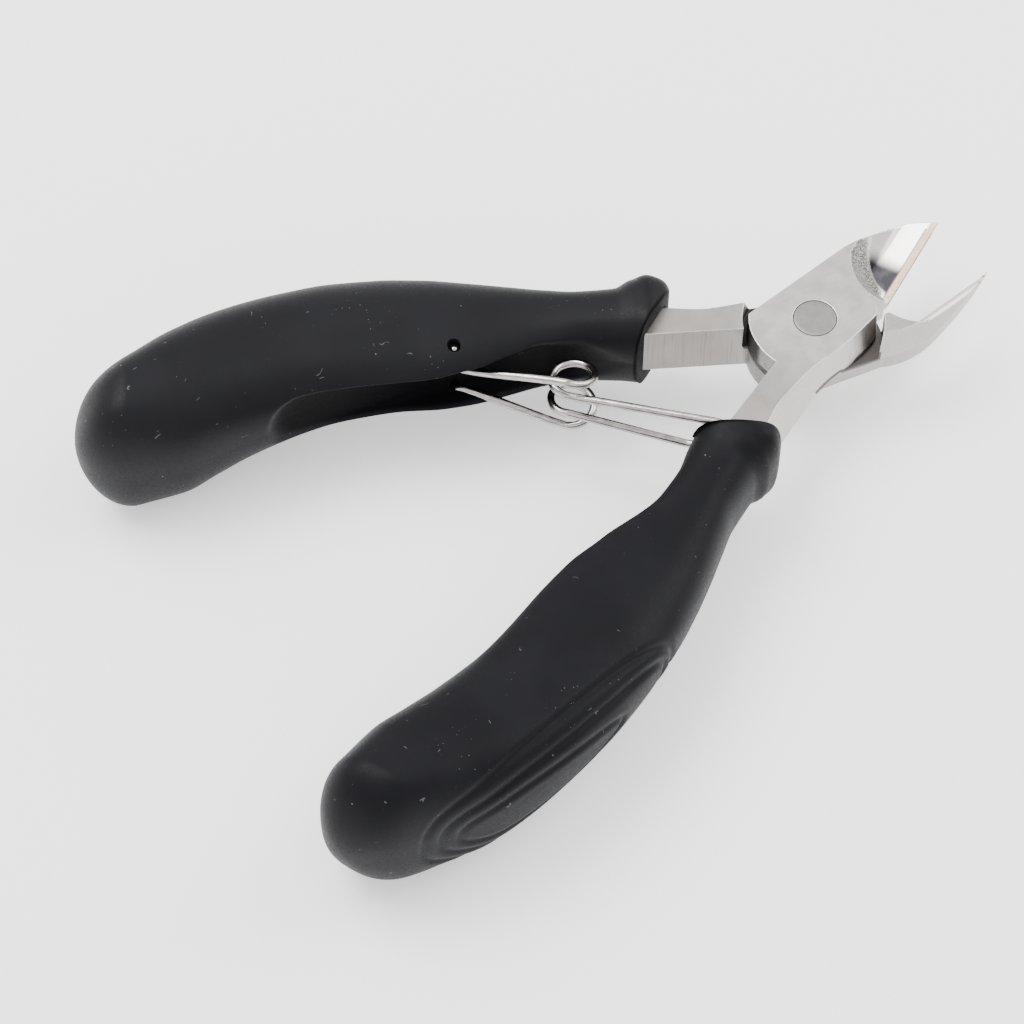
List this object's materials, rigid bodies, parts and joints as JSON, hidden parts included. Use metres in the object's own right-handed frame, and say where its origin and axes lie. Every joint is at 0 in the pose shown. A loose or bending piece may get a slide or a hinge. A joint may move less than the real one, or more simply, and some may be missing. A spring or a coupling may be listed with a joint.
{
  "type": "nail clipper",
  "caption": "Spring-opened toenail nipper with pointed hollow-ground jaws, a riveted lap joint and thick soft black grips, shown open.",
  "frame": {"origin": "the centre of the rivet's upper face, which is flush with the upper lever's cheek; the pivot axis passes through it", "axes": "+X out between the jaws, +Z along the pivot axis out of the face with the front lever's cheek, +Y towards the front lever's jaw"},
  "size_m": [0.1247, 0.086, 0.0241],
  "materials": {
    "steel": "satin tumbled stainless steel, mirror-polished in the hollow of each jaw",
    "rivet_steel": "satin, ground flush",
    "grip_rubber": "matte soft-touch black",
    "spring_wire": "bright drawn spring wire"
  },
  "bodies": {
    "back": {"back_lever": "steel", "back_grip": "grip_rubber", "pivot_rivet": "rivet_steel"},
    "front": {"front_lever": "steel", "front_grip": "grip_rubber"},
    "spring_tails": {"spring_upper_tail": "spring_wire", "spring_lower_tail": "spring_wire"},
    "spring_front": {"spring_nose": "spring_wire"}
  },
  "joints": [
    {"name": "handle_close", "type": "hinge", "parent": "back", "child": "front", "pos_m": [0, 0, 0], "axis": [0, 0, -1], "range_deg": [0, 21.2], "stiffness_Nm_per_rad": 0.9, "springref_deg": -9.74},
    {"name": "spring_leg_hinge", "type": "hinge", "parent": "back", "child": "spring_tails", "pos_m": [-0.0455, 0.0206, 0], "axis": [0, 0, -1], "range_deg": [-5, 55]},
    {"name": "spring_coil", "type": "hinge", "parent": "spring_tails", "child": "spring_front", "pos_m": [-0.0327, 0.0104, 0], "axis": [0, 0, 1], "range_deg": [-10, 110]}
  ],
  "couplings": [
    {"joint": "spring_leg_hinge", "follows": "handle_close", "ratio": 1.9},
    {"joint": "spring_coil", "follows": "handle_close", "ratio": 3.9}
  ]
}
